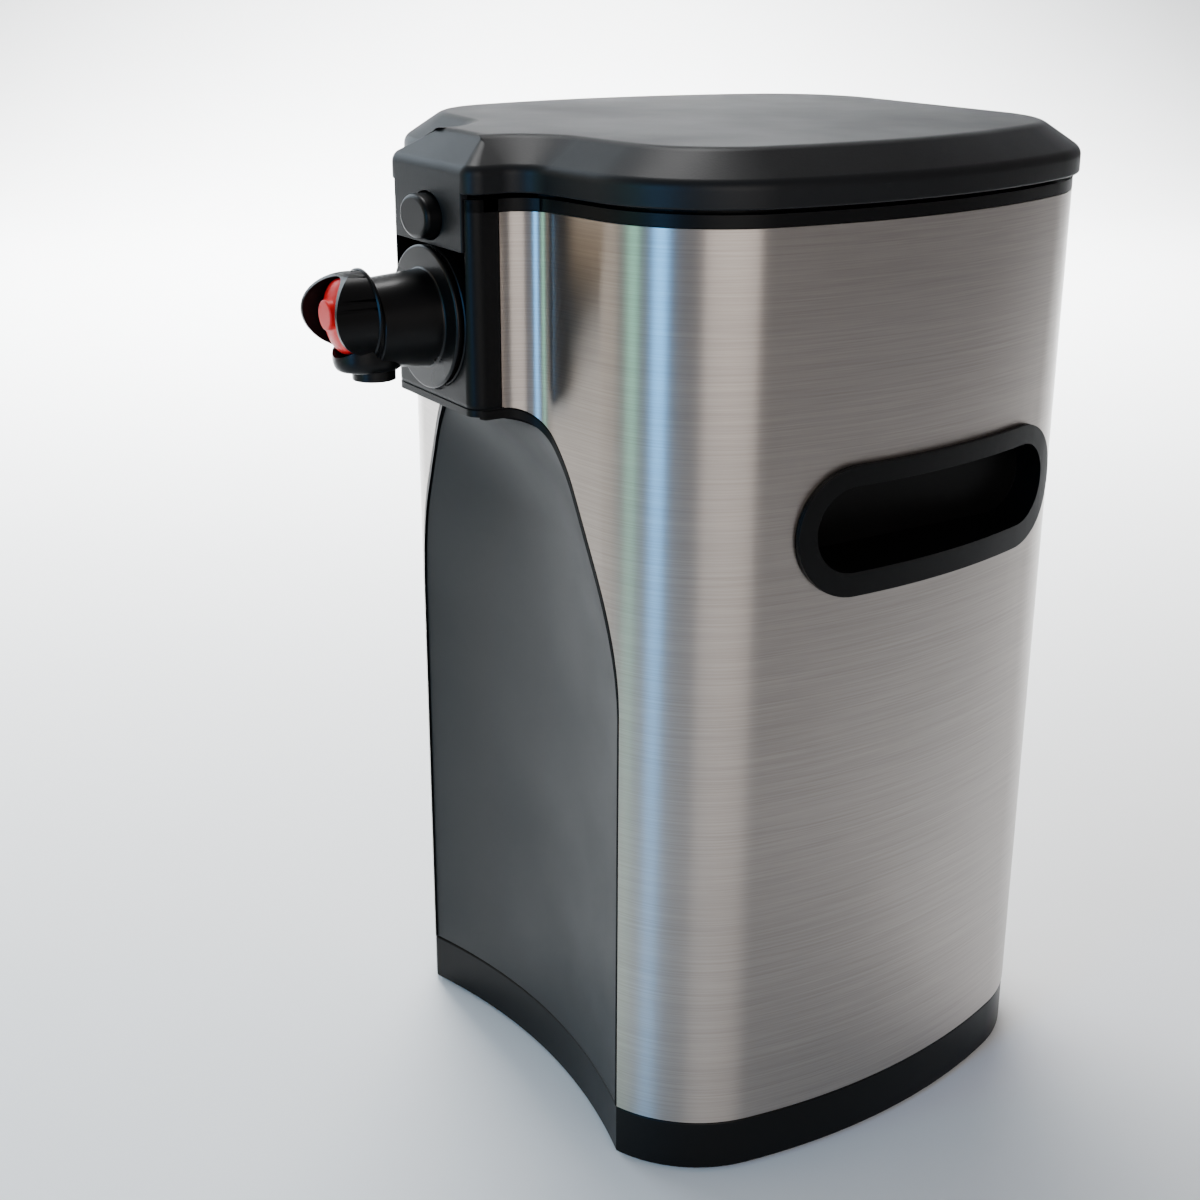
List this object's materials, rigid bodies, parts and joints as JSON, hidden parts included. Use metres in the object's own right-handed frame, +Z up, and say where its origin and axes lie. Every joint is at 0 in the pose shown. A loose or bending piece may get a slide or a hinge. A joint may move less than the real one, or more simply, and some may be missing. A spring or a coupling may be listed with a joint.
{
  "type": "wine dispenser",
  "caption": "Counter-top dispenser for a boxed wine bag: steel-wrapped body with hinged push-button lid, spring-lifted platform, side handles and front tap.",
  "frame": {"origin": "on the surface the feet stand on, below the middle of the whole object", "axes": "+X to the viewer's right from the front, +Y from the tap to the back, +Z up"},
  "size_m": [0.204, 0.2655, 0.3416],
  "materials": {
    "steel": "brushed stainless sheet, grain running round the body",
    "zinc": "zinc plated",
    "spring_steel": "bright rolled spring strip and wire",
    "black": "satin black moulding",
    "lid_black": "finely textured satin black moulding",
    "panel_grey": "matt dark grey moulding",
    "inner_grey": "light grey moulding",
    "rubber": "matt black rubber",
    "nylon": "natural white nylon",
    "tap_black": "smooth black moulding with a soft shine",
    "tap_red": "soft red button with a slight shine"
  },
  "bodies": {
    "housing": {"steel_wrap": "steel", "base_screw_front_left": "zinc", "base_screw_front_right": "zinc", "base_screw_rear_left": "zinc", "base_screw_rear_right": "zinc", "bracket_screw_lower": "zinc", "bracket_screw_upper": "zinc", "spring_bracket": "zinc", "hinge_pin": "zinc", "guide_rod_left": "zinc", "guide_rod_right": "zinc", "drum_axle_left": "zinc", "drum_axle_right": "zinc", "hinge_screw_left": "zinc", "hinge_screw_right": "zinc", "spring_tape_left": "spring_steel", "spring_tape_right": "spring_steel", "base_tray": "black", "front_bezel": "black", "chamber_liner": "black", "hinge_bracket": "black", "handle_cup_left": "black", "handle_cup_right": "black", "front_panel": "panel_grey", "foot_front_left": "rubber", "foot_front_right": "rubber", "foot_rear_left": "rubber", "foot_rear_right": "rubber", "bag_gland": "tap_black", "tap_body": "tap_black"},
    "lid": {"lid_shell": "lid_black", "lid_liner": "black", "lid_screw_front_left": "zinc", "lid_screw_front_right": "zinc", "lid_screw_rear_left": "zinc", "lid_screw_rear_right": "zinc", "button_spring": "spring_steel"},
    "lid_button": {"lid_button": "black", "latch_slider": "black"},
    "platform": {"lift_platform": "inner_grey", "lift_carriage": "black", "guide_bush_left": "nylon", "guide_bush_right": "nylon", "platform_screw_left": "zinc", "platform_screw_right": "zinc", "tape_screw_left": "zinc", "tape_screw_right": "zinc"},
    "drum_left": {"spring_drum_left": "nylon", "spring_coil_left": "spring_steel"},
    "drum_right": {"spring_drum_right": "nylon", "spring_coil_right": "spring_steel"},
    "tap_button": {"tap_push_button": "tap_red", "tap_valve_stem": "nylon"}
  },
  "joints": [
    {"name": "lid_hinge", "type": "hinge", "parent": "housing", "child": "lid", "pos_m": [0, 0.12915, 0.323], "axis": [-1, 0, 0], "range_deg": [0, 95]},
    {"name": "lid_button_press", "type": "slide", "parent": "lid", "child": "lid_button", "axis": [0, 1, 0], "range_m": [0, 0.004], "stiffness_N_per_m": 600, "springref_m": -0.004, "deforming": ["button_spring"]},
    {"name": "platform_lift", "type": "slide", "parent": "housing", "child": "platform", "axis": [0, 0, 1], "range_m": [0, 0.21], "deforming": ["spring_tape_left", "spring_tape_right"]},
    {"name": "drum_left_spin", "type": "hinge", "parent": "housing", "child": "drum_left", "pos_m": [-0.021, 0.11155, 0.296], "axis": [1, 0, 0], "range_deg": [-1340, 0]},
    {"name": "drum_right_spin", "type": "hinge", "parent": "housing", "child": "drum_right", "pos_m": [0.021, 0.11155, 0.296], "axis": [1, 0, 0], "range_deg": [-1340, 0]},
    {"name": "tap_button_press", "type": "slide", "parent": "housing", "child": "tap_button", "axis": [0, 1, 0], "range_m": [0, 0.003], "stiffness_N_per_m": 900, "springref_m": -0.003}
  ],
  "couplings": [
    {"joint": "drum_left_spin", "follows": "platform_lift", "rad_per_m": -109.89},
    {"joint": "drum_right_spin", "follows": "platform_lift", "rad_per_m": -109.89}
  ]
}
